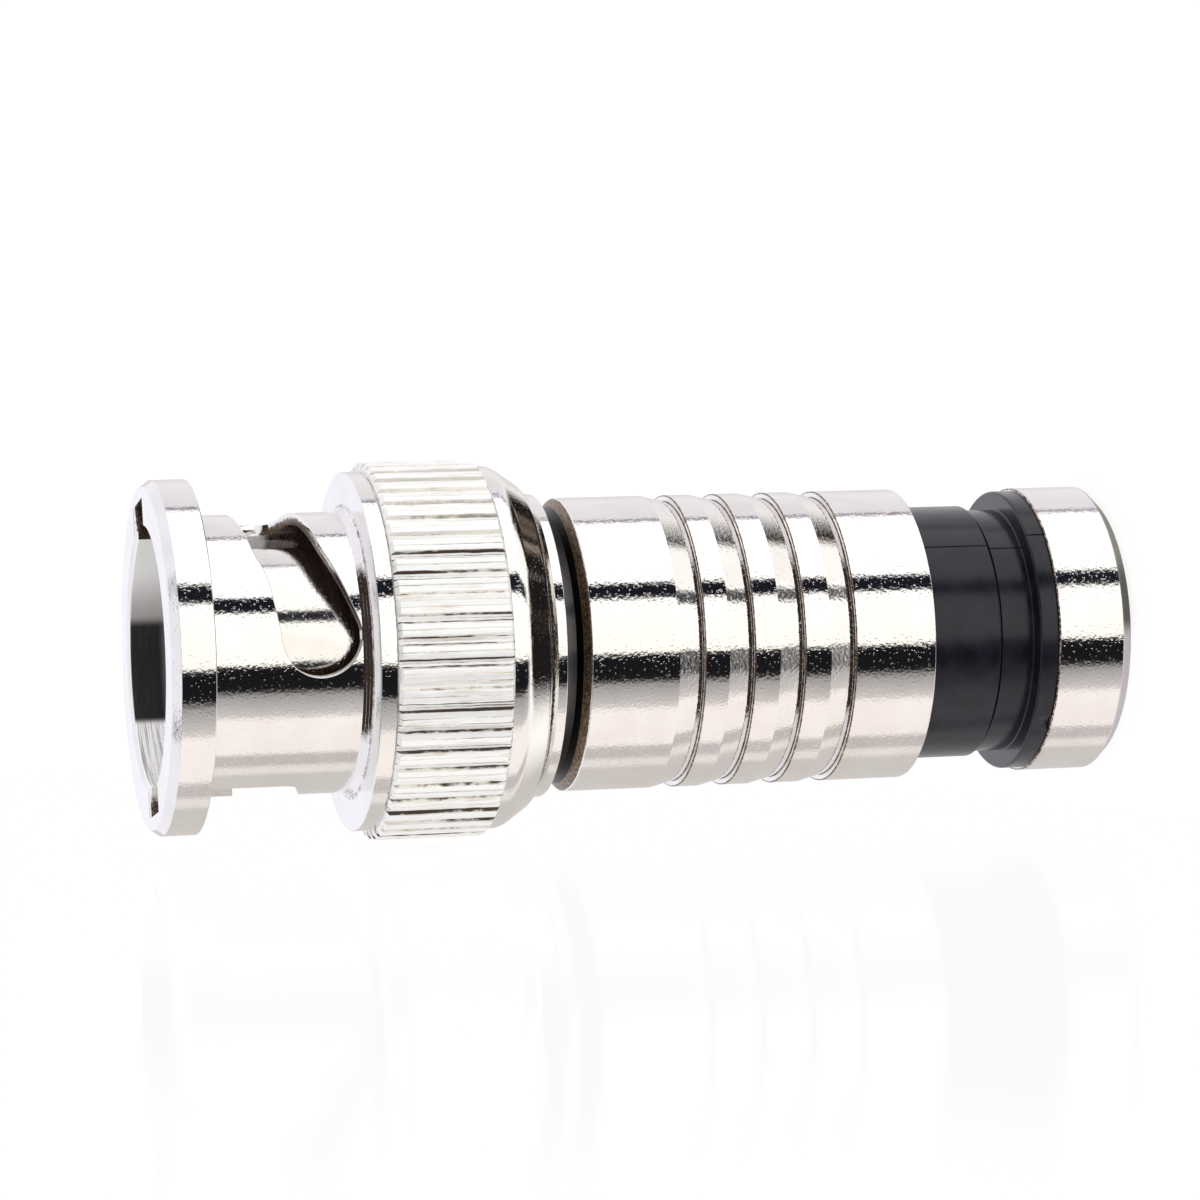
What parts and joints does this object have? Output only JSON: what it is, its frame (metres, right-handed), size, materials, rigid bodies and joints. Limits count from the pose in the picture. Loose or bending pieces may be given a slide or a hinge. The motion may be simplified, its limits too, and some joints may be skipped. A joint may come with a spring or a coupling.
{
  "type": "bnc connector",
  "caption": "Male bayonet plug for coaxial cable: knurled coupling nut with two slots, barbed barrel, black compression ferrule and metal end cap around a thin inner post.",
  "frame": {"origin": "centre of the end cap's rear face, which the plug stands on", "axes": "+Z along the axis towards the mating end"},
  "size_m": [0.0144, 0.0144, 0.0377],
  "materials": {
    "nickel_plate": "bright nickel plate over turned brass",
    "black_plastic": "satin moulded",
    "white_insulator": "smooth",
    "gold_plate": "gold plate",
    "spring_steel": "plain",
    "silicone": "soft matte"
  },
  "bodies": {
    "body": {"front_body": "nickel_plate", "face_gasket": "silicone", "front_washer": "nickel_plate", "wave_spring": "spring_steel", "centre_pin": "gold_plate", "front_insulator": "white_insulator", "rear_insulator": "white_insulator", "post": "nickel_plate", "barrel": "nickel_plate"},
    "washer": {"thrust_washer": "nickel_plate"},
    "nut": {"coupling_nut": "nickel_plate"},
    "rear": {"compression_ferrule": "black_plastic", "end_cap": "nickel_plate"}
  },
  "joints": [
    {"name": "nut_float", "type": "slide", "parent": "body", "child": "washer", "axis": [0, 0, 1], "range_m": [-0.00035, 0.0005], "stiffness_N_per_m": 800, "deforming": ["wave_spring"]},
    {"name": "nut_turn", "type": "hinge", "parent": "washer", "child": "nut", "pos_m": [0, 0, 0.0261], "axis": [0, 0, 1], "continuous": true},
    {"name": "compression", "type": "slide", "parent": "body", "child": "rear", "axis": [0, 0, 1], "range_m": [0, 0.0042]}
  ]
}
